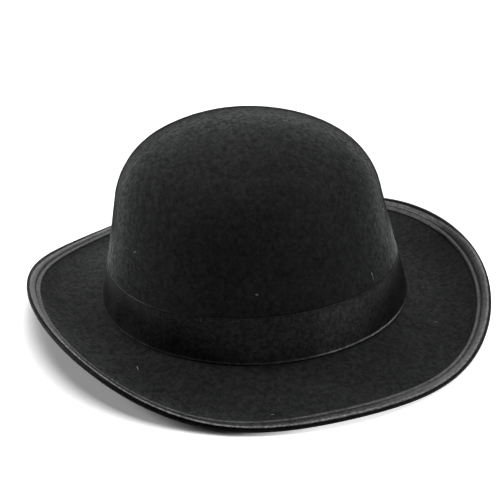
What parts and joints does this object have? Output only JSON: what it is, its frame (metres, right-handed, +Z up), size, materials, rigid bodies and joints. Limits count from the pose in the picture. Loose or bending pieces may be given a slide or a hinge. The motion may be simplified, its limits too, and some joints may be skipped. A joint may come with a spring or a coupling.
{
  "type": "bowler hat",
  "caption": "Stiff felt bowler hat with a domed oval crown, a ribbon hatband with a flat bow, and a brim that curls up at the sides and has a bound edge.",
  "frame": {"origin": "on the surface the brim rests on, below the centre of the brim's outline", "axes": "+Z up through the crown, -Y out of the front of the hat, +X towards the wearer's left"},
  "size_m": [0.275, 0.3246, 0.1223],
  "materials": {
    "felt": "matte black stiffened wool felt",
    "edge_ribbon": "black ribbed binding ribbon with a soft sheen",
    "band_ribbon": "black satin-faced ribbon",
    "thread": "black polyester thread",
    "sweat_leather": "tan leather, lightly glazed",
    "tan_thread": "tan thread",
    "reed_plastic": "off-white extruded reed",
    "woven_tape": "brown woven tape",
    "lining_satin": "cream satin"
  },
  "bodies": {
    "root": {"felt_body": "felt", "brim_binding": "edge_ribbon", "binding_stitches": "thread", "hatband": "band_ribbon", "hatband_tacks": "thread", "hatband_bow": "band_ribbon", "bow_wrap": "band_ribbon", "sweatband": "sweat_leather", "sweatband_reed": "reed_plastic", "reed_tape": "woven_tape", "sweatband_stitches": "tan_thread", "sweatband_seam_stitches": "tan_thread", "sweatband_bow": "band_ribbon", "lining_side": "lining_satin", "lining_tip": "lining_satin", "lining_piping": "lining_satin"}
  },
  "joints": []
}
